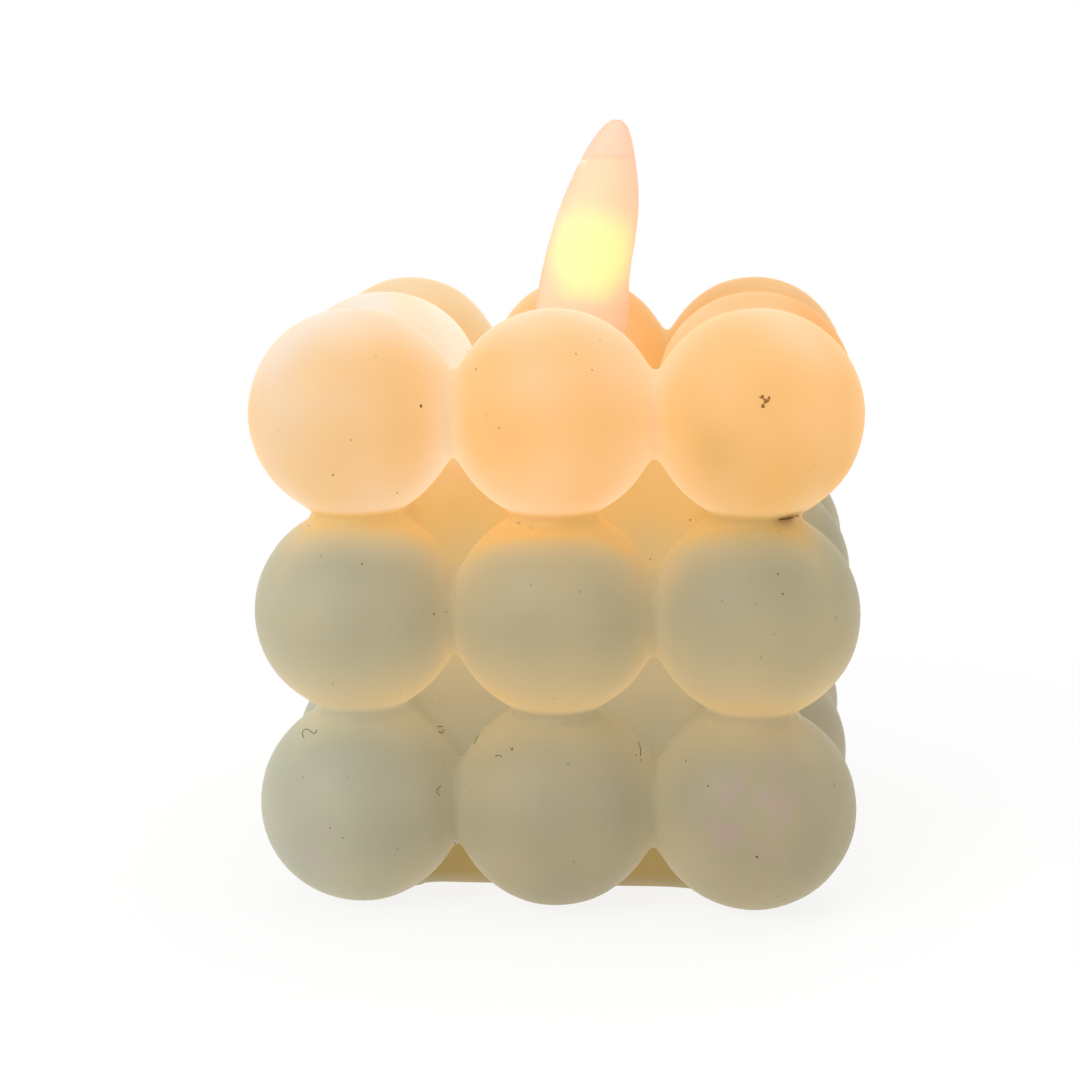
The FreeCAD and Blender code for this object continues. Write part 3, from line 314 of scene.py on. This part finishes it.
def wax_colour(row):
    """Colour of the wax with painted light and painted shade, and the share of it painted as the lamp's glow, for the
    balls of one row.
    """
    up = (z - ROWS[row]) / BALL
    lower, upper = np.clip(-up, 0, 1), np.clip(up, 0, 1)
    # Heat is the painted warmth of the lamp's light through the wax, share the part of the colour painted as glow.
    # Rims, necks and lower sides get painted light, and cool paints the left side brighter and cooler where the
    # front-left lamp falls.
    if row == 0:
        heat = 0.02 + 0.05 * rim + 0.06 * lower + 0.06 * crease * (1 - upper)
        share = 0.42 + 0.15 * rim
        cool = np.array([0.14, 0.28, 0.5])
    elif row == 1:
        heat = 0.11 + 0.07 * rim + 0.45 * np.minimum(lower, 0.7) ** 1.5 + 0.14 * crease * (1 - upper)
        share = 0.5 + 0.15 * rim + 0.2 * lower
        cool = np.array([0.04, 0.13, 0.28])
    else:
        heat = 0.79 + 0.12 * rim + 0.12 * upper * left + 0.06 * lower * (1 - 0.7 * right) - 0.22 * back
        share = 0.78 + 0.08 * rim + 0.08 * crease
        cool = np.array([-0.1, 0.08, 0.45])
    # Painted light from above on the upper sides of the lower rows, and in the gaps.
    if row < 2:
        lit_from_above = (rim * smooth_step(up, 0.0, 0.7) + smooth_step(up, 0.55, 1.1)) * (0.7 + 0.3 * middle)
        shared = np.clip(np.maximum(lit_from_above * (up > 0), gap), 0, 1)
    else:
        shared = gap * smooth_step(z, 48, 44)
    heat = heat * (1 - shared) + gap_heat * shared + drift
    if row == 2:
        # Painted glow of the wax nearest the lamp.
        near_lamp = smooth_step(lamp_distance, 24, 12) * (z > 46)
        heat += 0.25 * near_lamp * (1 - 0.8 * np.maximum(smooth_step(x, 2, 10), smooth_step(y, 4, 12)))
    colour = ramp(heat, [(0.0, "#a79d80"), (0.15, "#b7a984"), (0.35, "#ccb386"), (0.5, "#dbb87b"), (0.65, "#f0b96a"),
                         (0.8, "#fec37e"), (0.88, "#fecd96"), (1.02, "#ffddb6"), (1.15, "#ffe9cd")])
    colour *= 1 + cool * (left * (1 - gap))[:, None]
    if row == 1:
        # Painted shade on the upper right and painted light on the lower middle of the middle row.
        colour *= 1 - (right * upper * (1 - gap))[:, None] * np.array([0.24, 0.15, 0.08])
        colour *= 1 + (middle * lower * (1 - gap))[:, None] * np.array([0.14, 0.1, 0.04])
    if row == 2:
        # Painted paler glow on the rear balls far from the lamp.
        rear = smooth_step(y, 4, 20) * smooth_step(lamp_distance, 16, 24) * 0.7
        colour = colour * (1 - rear)[:, None] + np.array(linear("#ecd3a8")[:3]) * rear[:, None]
        # Painted light: a deeper orange on the front right of the top row.
        far_right = smooth_step(x, -4, 10) * smooth_step(y, -12, -3)
        colour *= 1 - far_right[:, None] * np.array([0.02, 0.2, 0.42])
        # Painted shade low on the right.
        low_right = right * smooth_step(-up, -0.2, 0.6)
        colour *= 1 - low_right[:, None] * np.array([0.12, 0.12, 0.26])
    # Painted shade and warm bounced light deep in the lowest gaps.
    deep = gap * smooth_step(z, 16, 3)
    colour *= 1 - deep[:, None] * np.array([0.0, 0.18, 0.52])
    # More of the gaps' colour is painted as glow.
    share = np.maximum(share, gap * (0.62 + 0.22 * smooth_step(z, 5, 30)))
    return colour, np.clip(share, 0, 0.88)


tint, share = wax_colour(0)
for row in (1, 2):
    above = smooth_step(z, ROWS[row] - 9.5, ROWS[row] - 8.5)
    colour, glowing = wax_colour(row)
    tint = tint * (1 - above)[:, None] + colour * above[:, None]
    share = share * (1 - above) + glowing * above
grey_patch = np.exp(-((points - wax_point(713, 452)) ** 2).sum(1) / 9)
tint *= 1 - grey_patch[:, None] * np.array([0.14, 0.13, 0.26])
dapple = np.sin(0.9 * x + 0.5 * z) * np.sin(0.7 * z - 0.4 * x + 1.0) + 0.5 * np.sin(1.9 * x - 1.3 * z)
for place, reach in (((770, 800), 5.0), ((727, 826), 2.5), ((310, 850), 3.0)):
    pink = np.exp(-((points - wax_point(*place)) ** 2).sum(1) / reach ** 2) * smooth_step(dapple, 0.0, 0.5)
    tint *= 1 + pink[:, None] * np.array([0.06, -0.05, 0.14])
# Painted shade of a small hole in the seam between the top right and middle right balls: the wax round it is
# darkened.
seam_hole_darkening = np.exp(-((points - wax_point(788, 518)) ** 2 / np.array([2.2, 1.2, 0.5])).sum(1))
tint *= 1 - seam_hole_darkening[:, None] * np.array([0.62, 0.72, 0.85])
# The tint attribute is the wax's colour with painted light and painted shade; the glow attribute is emission painted
# for the lamp's light through the wax.
for name, values in (("tint", tint * (1 - share)[:, None]), ("glow", tint * share[:, None])):
    layer = made.color_attributes.new(name, "FLOAT_COLOR", "POINT")
    layer.data.foreach_set("color", np.column_stack([values, np.ones(count)]).astype(np.float32).ravel())

m, tree = material("cast paraffin wax")
coords = add(tree, "TexCoord")
base = add(tree, "Attribute", attribute_name="tint")
lit = add(tree, "Attribute", attribute_name="glow")
cloud = add(tree, "TexNoise", Vector=coords.outputs["Object"], Scale=90.0, Detail=3.0, Roughness=0.55)
cloud_range = add(tree, "MapRange", Value=cloud.outputs["Fac"], From_Min=0.3, From_Max=0.7, To_Min=0.95,
                  To_Max=1.05)
tinted = add(tree, "VectorMath", operation="MULTIPLY", i0=base.outputs["Color"], i1=cloud_range.outputs[0])
grain = add(tree, "TexNoise", Vector=coords.outputs["Object"], Scale=2600.0, Detail=2.0)
dust = add(tree, "TexVoronoi", Vector=coords.outputs["Object"], Scale=330.0, Randomness=1.0)
mote = add(tree, "MapRange", Value=dust.outputs["Distance"], From_Min=0.035, From_Max=0.06, To_Min=0.45, To_Max=1.0)
clean = add(tree, "VectorMath", operation="MULTIPLY", i0=tinted.outputs[0], i1=mote.outputs[0])
bump = add(tree, "Bump", Height=grain.outputs["Fac"], Strength=0.12, Distance=0.0001)
# Emission from the glow attribute is painted lamplight in the wax.
skin = add(tree, "BsdfPrincipled", Base_Color=clean.outputs[0], Roughness=0.52, Subsurface_Weight=1.0,
           Subsurface_Radius=(1.0, 0.7, 0.45), Subsurface_Scale=0.005, IOR=1.44, Specular_IOR_Level=0.35,
           Emission_Color=lit.outputs["Color"], Emission_Strength=1.0, Normal=bump.outputs[0])
finish_material(tree, skin.outputs[0])
made.materials.clear()
made.materials.append(m)
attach(wax, "candle")
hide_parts("wax_body")

# Marks in the wax
# Dust and fibres that fell on the wax while it was soft, and brown and dark discs painted as the shade in a small pit
# and in a small hole at a seam. They sit half sunk in the skin.
def two_tones(tree, amount, low_colour, high_colour):
    shades = add(tree, "ValToRGB", Fac=amount)
    shades.color_ramp.elements[0].color = linear(low_colour)
    shades.color_ramp.elements[1].color = linear(high_colour)
    return shades


def sunk_specks(name, marks, colour, roughness):
    verts, faces = [], []
    ring = 8
    for across, down, wide, high in marks:
        centre = Vector(wax_point(across, down)) / 1000
        normal = wax_tree.find_nearest(centre * 1000)[1]
        side = normal.cross((0, 0, 1)).normalized()
        rise = side.cross(normal)
        first = len(verts)
        for k, (size, lift) in enumerate(((1.0, -0.02), (0.8, 0.03), (0.35, 0.05))):
            for i in range(ring):
                angle = i * math.tau / ring
                ragged = 1 + 0.25 * math.sin(3 * angle + across) + 0.15 * math.sin(5 * angle + down)
                out = (side * (math.cos(angle) * wide) + rise * (math.sin(angle) * high)) * size * ragged / 2
                verts.append(centre + out / 1000 + normal * (lift / 1000))
        for k in range(2):
            for i in range(ring):
                j = (i + 1) % ring
                at = first + k * ring
                faces.append((at + i, at + j, at + ring + j, at + ring + i))
        faces.append(tuple(first + 2 * ring + i for i in range(ring)))
        faces.append(tuple(first + i for i in reversed(range(ring))))
    mesh = bpy.data.meshes.new(name)
    mesh.from_pydata(verts, [], faces)
    o = bpy.data.objects.new(name, mesh)
    bpy.context.scene.collection.objects.link(o)
    m, tree = material(name.replace("_", " "))
    coords = add(tree, "TexCoord")
    tone = add(tree, "TexNoise", Vector=coords.outputs["Object"], Scale=4000.0)
    shades = two_tones(tree, tone.outputs["Fac"], *colour)
    skin = add(tree, "BsdfPrincipled", Base_Color=shades.outputs[0], Roughness=roughness)
    finish_material(tree, skin.outputs[0])
    mesh.materials.append(m)
    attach(o, "candle")


sunk_specks("dust_specks", (
    (421, 406, 0.34, 0.42), (476, 369, 0.2, 0.2), (333, 475, 0.2, 0.26), (351, 440, 0.14, 0.14),
    (397, 493, 0.16, 0.16), (499, 428, 0.18, 0.14), (309, 526, 0.2, 0.16), (362, 564, 0.24, 0.2),
    (434, 614, 0.2, 0.26), (446, 612, 0.16, 0.16),
    (512, 749, 0.3, 0.36), (686, 761, 0.2, 0.2), (708, 786, 0.22, 0.22), (636, 755, 0.26, 0.2), (518, 523, 0.2, 0.14),
    (531, 528, 0.14, 0.14), (576, 354, 0.16, 0.16), (592, 370, 0.14, 0.18), (600, 341, 0.14, 0.14),
    (468, 352, 0.16, 0.16), (650, 559, 0.2, 0.2), (690, 520, 0.18, 0.18), (778, 574, 0.2, 0.2), (783, 594, 0.3, 0.2),
    (330, 828, 0.18, 0.18), (343, 838, 0.16, 0.16), (757, 857, 0.34, 0.26), (641, 760, 0.16, 0.3),
    (574, 862, 0.16, 0.16), (455, 843, 0.2, 0.3)), ("#4b3a22", "#7d6540"), 0.7)
# Brown discs painted as the shade in a small pit.
sunk_specks("pit_shade", ((762, 397, 0.5, 0.4), (766, 401, 0.6, 0.5), (763, 406, 0.4, 0.5), (769, 398, 0.3, 0.4)),
            ("#6b4312", "#a06a20"), 0.6)
# Dark discs painted as the shade of a small hole in the seam.
sunk_specks("seam_hole_shade_specks", ((783, 519, 1.3, 0.34), (790, 518, 1.1, 0.4), (797, 516, 0.6, 0.24)),
            ("#3d3113", "#75592a"), 0.7)

fibres = (((304, 738), (301, 732), (306, 728), (311, 731), (314, 736), (317, 730)),
          ((438, 727), (443, 725), (446, 730), (441, 734), (438, 731)),
          ((441, 786), (437, 788), (436, 793), (440, 795)),
          ((474, 744), (477, 740), (479, 735)), ((495, 757), (499, 754), (502, 757)),
          ((638, 742), (641, 750), (640, 756)))
verts, faces = [], []
for path in fibres:
    line = [Vector(wax_point(*at)) for at in path]
    fine = [line[0]]
    for a, b in zip(line, line[1:]):
        fine += [a.lerp(b, 0.5), b]
    for _ in range(2):
        fine = [fine[0]] + [(a + b * 2 + c) / 4 for a, b, c in zip(fine, fine[1:], fine[2:])] + [fine[-1]]
    first = len(verts)
    for i, at in enumerate(fine):
        along = (fine[min(i + 1, len(fine) - 1)] - fine[max(i - 1, 0)]).normalized()
        at, normal = wax_tree.find_nearest(at)[:2]
        side = along.cross(normal).normalized()
        for angle in (0, 60, 120, 180, 240, 300):
            turn = math.radians(angle)
            verts.append((at + normal * 0.02 + (side * math.cos(turn) + normal * math.sin(turn)) * 0.045) / 1000)
    for i in range(len(fine) - 1):
        for k in range(6):
            at, n = first + 6 * i, (k + 1) % 6
            faces.append((at + k, at + n, at + 6 + n, at + 6 + k))
    faces.append(tuple(first + k for k in reversed(range(6))))
    faces.append(tuple(first + 6 * (len(fine) - 1) + k for k in range(6)))
mesh = bpy.data.meshes.new("lint_fibres")
mesh.from_pydata([tuple(v) for v in verts], [], faces)
lint = bpy.data.objects.new("lint_fibres", mesh)
bpy.context.scene.collection.objects.link(lint)
m, tree = material("grey cotton lint")
coords = add(tree, "TexCoord")
tone = add(tree, "TexNoise", Vector=coords.outputs["Object"], Scale=3000.0)
shades = two_tones(tree, tone.outputs["Fac"], "#4d4a3e", "#8a8470")
skin = add(tree, "BsdfPrincipled", Base_Color=shades.outputs[0], Roughness=0.9)
finish_material(tree, skin.outputs[0])
mesh.materials.append(m)
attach(lint, "candle")

# Flame shell
# A hollow, frosted moulding of milky peach plastic. The lamp's light on its inner wall is painted as emission, yellow
# near the lamp, and the frosted outside spreads that to a soft yellow oval. The outside has a weak painted glow too.
m, tree = material("frosted milky plastic")
coords = add(tree, "TexCoord")
stretch = add(tree, "Mapping", i0=coords.outputs["Object"], Scale=(3000.0, 3000.0, 60.0))
streak = add(tree, "TexNoise", Vector=stretch.outputs[0], Scale=1.0, Detail=2.0)
shades = two_tones(tree, streak.outputs["Fac"], "#ffc9b2", "#ffd3bc")
bump = add(tree, "Bump", Height=streak.outputs["Fac"], Strength=0.08, Distance=0.0001)
# A weak painted glow of the lamp's light in the shell.
shell = add(tree, "BsdfPrincipled", Base_Color=shades.outputs[0], Roughness=0.55, Transmission_Weight=0.6,
            IOR=1.25, Emission_Color=linear("#fec3ac"), Emission_Strength=0.17, Normal=bump.outputs[0])
finish_material(tree, shell.outputs[0])
inner, tree = material("lamplit inner wall")
coords = add(tree, "TexCoord")
offset = add(tree, "VectorMath", operation="SUBTRACT", i0=coords.outputs["Object"])
offset.inputs[1].default_value = (0.0026, 0.0, 0.0645)
scaled = add(tree, "VectorMath", operation="MULTIPLY", i0=offset.outputs[0])
scaled.inputs[1].default_value = (1.05, 0.65, 1.0)
reach = add(tree, "VectorMath", operation="LENGTH", i0=scaled.outputs[0])
near = add(tree, "MapRange", interpolation_type="SMOOTHSTEP", Value=reach.outputs["Value"], From_Min=0.003,
           From_Max=0.006, To_Min=1.0, To_Max=0.0)
# Painted lamplight on the inner wall: yellow close to the lamp, peach further off.
warmth = two_tones(tree, near.outputs[0], "#c89c88", "#fff48c")
shine = add(tree, "BsdfPrincipled", Base_Color=linear("#ffcfb8"), Roughness=0.5, Transmission_Weight=0.5,
            IOR=1.25, Emission_Color=warmth.outputs[0], Emission_Strength=0.75)
finish_material(tree, shine.outputs[0])
flame = nodes["flame_shell"].data
flame.materials.clear()
flame.materials.append(m)
flame.materials.append(inner)
outline = np.array([v.co for v in flame.vertices]) * 1000
# Faces of the inner wall round the lamp take the painted lamplight.
for face in flame.polygons:
    at = np.array(face.center) * 1000
    ring = outline[np.abs(outline[:, 2] - at[2]) < 1.0]
    if len(ring) == 0:
        continue
    (x0, y0, _), (x1, y1, _) = ring.min(0), ring.max(0)
    inside = math.hypot((2 * at[0] - x0 - x1) / (x1 - x0 + 0.01), (2 * at[1] - y0 - y1) / (y1 - y0 + 0.01)) < 0.86
    face.material_index = int(inside and 52 < at[2] < 74)

# Lamp
# A 5 mm lamp of clear epoxy on two tinned steel leads. While it is lit its chip is white and the epoxy yellow.
def dress(names, m):
    for name in names:
        data = nodes[name].data
        data.materials.clear()
        data.materials.append(m)


m, tree = material("lit clear epoxy")
coords = add(tree, "TexCoord")
offset = add(tree, "VectorMath", operation="SUBTRACT", i0=coords.outputs["Object"])
offset.inputs[1].default_value = (0.0022, 0.0, 0.0625)
reach = add(tree, "VectorMath", operation="LENGTH", i0=offset.outputs[0])
fall = add(tree, "MapRange", Value=reach.outputs["Value"], From_Min=0.001, From_Max=0.007, To_Min=1.9, To_Max=1.0)
glow = add(tree, "Emission", Color=linear("#fff58c"), Strength=fall.outputs[0])
finish_material(tree, glow.outputs[0])
dress(["led_lens"], m)
m, tree = material("lit phosphor chip")
coords = add(tree, "TexCoord")
speck = add(tree, "TexNoise", Vector=coords.outputs["Object"], Scale=9000.0)
fall = add(tree, "MapRange", Value=speck.outputs["Fac"], From_Min=0.3, From_Max=0.7, To_Min=3.0, To_Max=4.5)
glow = add(tree, "Emission", Color=linear("#fff6c8"), Strength=fall.outputs[0])
finish_material(tree, glow.outputs[0])
dress(["led_die"], m)


def surface(name, low_colour, high_colour, grain, bump_strength, **settings):
    """Material whose colour drifts between two shades over a grain given in millimetres."""
    m, tree = material(name)
    coords = add(tree, "TexCoord")
    noise = add(tree, "TexNoise", Vector=coords.outputs["Object"], Scale=1000.0 / grain, Detail=3.0)
    shades = two_tones(tree, noise.outputs["Fac"], low_colour, high_colour)
    shades.color_ramp.elements[0].position = 0.3
    shades.color_ramp.elements[1].position = 0.7
    bump = add(tree, "Bump", Height=noise.outputs["Fac"], Strength=bump_strength, Distance=0.0001)
    skin = add(tree, "BsdfPrincipled", Base_Color=shades.outputs[0], Normal=bump.outputs[0], **settings)
    finish_material(tree, skin.outputs[0])
    return m


# Tin is dull silver with a slightly cloudy skin from the hot dip.
dress(["led_anode", "led_cathode"], surface("hot-dip tinned steel", "#b4b2ac", "#d2d0ca", 0.6, 0.2, Metallic=1.0,
                                            Roughness=0.34))

# Lamp holder, sleeves and wires
# A moulded white tube grips the lamp. Heat-shrunk sleeves cover the soldered leads, and two thin stranded wires
# in soft vinyl run down the stem.
dress(["led_holder"], surface("moulded natural ABS", "#e9e3d3", "#f1ecde", 0.3, 0.1, Roughness=0.45, IOR=1.54))
dress(["lead_sleeves"], surface("heat-shrunk polyolefin", "#151516", "#232325", 0.5, 0.35, Roughness=0.5))
dress(["wire_red"], surface("extruded red vinyl", "#a31713", "#bb2420", 0.8, 0.12, Roughness=0.38, IOR=1.53))
dress(["wire_black"], surface("extruded black vinyl", "#161617", "#232324", 0.8, 0.12, Roughness=0.38, IOR=1.53))

# Module case
# Cup, lid with stem, and round battery door, moulded in ivory ABS. The mould was spark-eroded, which leaves an
# even matt grain of about 0.1 mm, drawn here at 0.25 mm so that it shows.
case = surface("spark-grained ivory ABS", "#e6dfc9", "#ece6d4", 0.25, 0.3, Roughness=0.5, IOR=1.54)
dress(["base_housing", "top_cover"], case)
dress(["battery_door"], surface("spark-grained ABS door", "#e3dcc5", "#e9e2ce", 0.25, 0.35, Roughness=0.46, IOR=1.54))

# Screws
# Two thread-forming pan heads of zinc-plated steel, cold-headed with a cross recess. The plating is bright with a
# bluish, faintly cloudy tone.
def screw(bm, centre, base, top, head, shank, head_high):
    """Lathe a screw whose head has a cross recess; sizes in metres, the head at the low end."""
    sections = [(head * s, None) for s in (0.0, 0.08, 0.16, 0.24, 0.32, 0.4, 0.48, 0.56, 0.64, 0.72, 0.8, 0.88)]
    sections += [(head * 0.95, base + 0.00004), (head, base + 0.00015), (head, base + head_high),
                 (shank, base + head_high), (shank, top - 0.0004), (shank * 0.5, top)]
    turns = 48
    rows = []
    for radius, level in sections:
        row = []
        for i in range(turns if radius else 1):
            angle = i * math.tau / turns
            u, v = radius * math.cos(angle), radius * math.sin(angle)
            z = level
            if level is None:
                narrow, wide = sorted((abs(u + v), abs(u - v)))
                inside = (narrow / math.sqrt(2) < head * 0.17) and (wide / math.sqrt(2) < head * 0.6)
                z = base + (0.0005 * (1 - wide / math.sqrt(2) / (head * 0.9)) if inside else 0.0)
            row.append(bm.verts.new((centre[0] + u, centre[1] + v, z)))
        rows.append(row)
    for a, b in zip(rows, rows[1:]):
        for i in range(turns):
            j = (i + 1) % turns
            bm.faces.new((a[0], b[j], b[i]) if len(a) == 1 else (a[i], a[j], b[j], b[i]))
    bm.faces.new(rows[-1])


low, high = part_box("housing_screws")
head = (high[1] - low[1]) / 2
bm = bmesh.new()
for across in (low[0] + head, high[0] - head):
    screw(bm, (across, (low[1] + high[1]) / 2), low[2], high[2], head, 0.0009, 0.001)
bmesh.ops.recalc_face_normals(bm, faces=bm.faces)
mesh = bpy.data.meshes.new("cross_head_screws")
bm.to_mesh(mesh)
bm.free()
screws = bpy.data.objects.new("cross_head_screws", mesh)
bpy.context.scene.collection.objects.link(screws)
mesh.materials.append(surface("zinc-plated steel", "#a9adb2", "#c6cacf", 0.4, 0.15, Metallic=1.0, Roughness=0.3))
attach(screws, "candle")
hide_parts("housing_screws")

# Glue dabs
# Hot-melt glue, milky and rubbery, pressed flat between the module and the wax.
dress(["glue_dabs"], surface("hot-melt glue", "#e8e2cf", "#f3efdf", 1.5, 0.5, Roughness=0.3, IOR=1.48,
                             Transmission_Weight=0.35))

# Circuit board
# Glass-fibre board under green lacquer. The weave's threads, 0.5 mm apart, show faintly through the lacquer.
m, tree = material("lacquered glass-fibre board")
coords = add(tree, "TexCoord")
warp = add(tree, "TexWave", Vector=coords.outputs["Object"], bands_direction="X", Scale=1000.0 / 0.5 / 20,
           Distortion=0.4)
weft = add(tree, "TexWave", Vector=coords.outputs["Object"], bands_direction="Y", Scale=1000.0 / 0.5 / 20,
           Distortion=0.4)
weave = add(tree, "Math", operation="MAXIMUM", i0=warp.outputs["Fac"], i1=weft.outputs["Fac"])
shades = two_tones(tree, weave.outputs[0], "#0f4a2a", "#1c6238")
bump = add(tree, "Bump", Height=weave.outputs[0], Strength=0.15, Distance=0.0001)
skin = add(tree, "BsdfPrincipled", Base_Color=shades.outputs[0], Roughness=0.3, IOR=1.5, Normal=bump.outputs[0])
finish_material(tree, skin.outputs[0])
dress(["circuit_board"], m)

# Parts on the board
# A dome of black epoxy over the controller, two chip resistors and a chip capacitor with tinned ends, and
# hand-soldered joints with a bright, slightly rippled skin.
dress(["controller_blob"], surface("black potting epoxy", "#101112", "#1d1e20", 1.2, 0.4, Roughness=0.3, IOR=1.55))
for name, body_low, body_high, side in (("chip_resistors", "#14151a", "#24262c", 0),
                                        ("chip_capacitor", "#9b7a52", "#b08c60", 1)):
    low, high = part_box(name)
    m, tree = material("tinned ceramic " + name.replace("_", " "))
    coords = add(tree, "TexCoord")
    axes = add(tree, "SeparateXYZ", i0=coords.outputs["Object"])
    from_middle = add(tree, "Math", operation="SUBTRACT", i0=axes.outputs[side], i1=(low[side] + high[side]) / 2)
    distance = add(tree, "Math", operation="ABSOLUTE", i0=from_middle.outputs[0])
    end = add(tree, "Math", operation="GREATER_THAN", i0=distance.outputs[0],
              i1=(high[side] - low[side]) / 2 - 0.0003)
    fired = add(tree, "TexNoise", Vector=coords.outputs["Object"], Scale=3000.0)
    shades = two_tones(tree, fired.outputs["Fac"], body_low, body_high)
    ceramic = add(tree, "BsdfPrincipled", Base_Color=shades.outputs[0], Roughness=0.4)
    tin = add(tree, "BsdfPrincipled", Base_Color=linear("#c9c8c2"), Metallic=1.0, Roughness=0.35)
    mix = add(tree, "MixShader", i0=end.outputs[0], i1=ceramic.outputs[0], i2=tin.outputs[0])
    finish_material(tree, mix.outputs[0])
    dress([name], m)
dress(["solder_joints"], surface("tin-silver solder", "#b3b3af", "#cfcfcb", 0.5, 0.4, Metallic=1.0, Roughness=0.22))

# Slide switch
# A black phenolic base in a folded nickel-plated steel frame, with a black acetal knob and a sprung wiper.
dress(["switch_base"], surface("moulded black phenolic", "#1d1713", "#2b231d", 0.3, 0.2, Roughness=0.42))
dress(["switch_slider"], surface("moulded black acetal", "#131314", "#1f1f21", 0.3, 0.2, Roughness=0.36))
nickel = surface("rolled nickel-plated steel", "#b9b3a6", "#cfc9bc", 0.35, 0.12, Metallic=1.0, Roughness=0.28)
dress(["switch_frame", "switch_pins", "switch_wiper", "contact_positive", "contact_negative"], nickel)

# Coin cell
# A pressed can of nickel-plated steel, brushed in circles, with a dark sealing ring round the smaller cap.
low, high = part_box("coin_cell")
m, tree = material("brushed nickel-plated can")
coords = add(tree, "TexCoord")
offset = add(tree, "VectorMath", operation="SUBTRACT", i0=coords.outputs["Object"])
offset.inputs[1].default_value = ((low[0] + high[0]) / 2, (low[1] + high[1]) / 2, 0.0)
flat = add(tree, "VectorMath", operation="MULTIPLY", i0=offset.outputs[0])
flat.inputs[1].default_value = (1.0, 1.0, 0.0)
radius = add(tree, "VectorMath", operation="LENGTH", i0=flat.outputs[0])
brush = add(tree, "TexNoise", noise_dimensions="1D", W=radius.outputs["Value"], Scale=9000.0, Detail=3.0)
shades = two_tones(tree, brush.outputs["Fac"], "#b5b1a8", "#d6d2c9")
bump = add(tree, "Bump", Height=brush.outputs["Fac"], Strength=0.1, Distance=0.0001)
steel = add(tree, "BsdfPrincipled", Base_Color=shades.outputs[0], Metallic=1.0, Roughness=0.26,
            Normal=bump.outputs[0])
seal = add(tree, "BsdfPrincipled", Base_Color=linear("#1b1c1f"), Roughness=0.5)
away = add(tree, "Math", operation="SUBTRACT", i0=radius.outputs["Value"], i1=0.0089)
near = add(tree, "Math", operation="ABSOLUTE", i0=away.outputs[0])
inside = add(tree, "Math", operation="LESS_THAN", i0=near.outputs[0], i1=0.0002)
mix = add(tree, "MixShader", i0=inside.outputs[0], i1=steel.outputs[0], i2=seal.outputs[0])
finish_material(tree, mix.outputs[0])
dress(["coin_cell"], m)

# Sizes
# The box of this scene's shown objects, the floor left out, in metres.
low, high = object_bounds()
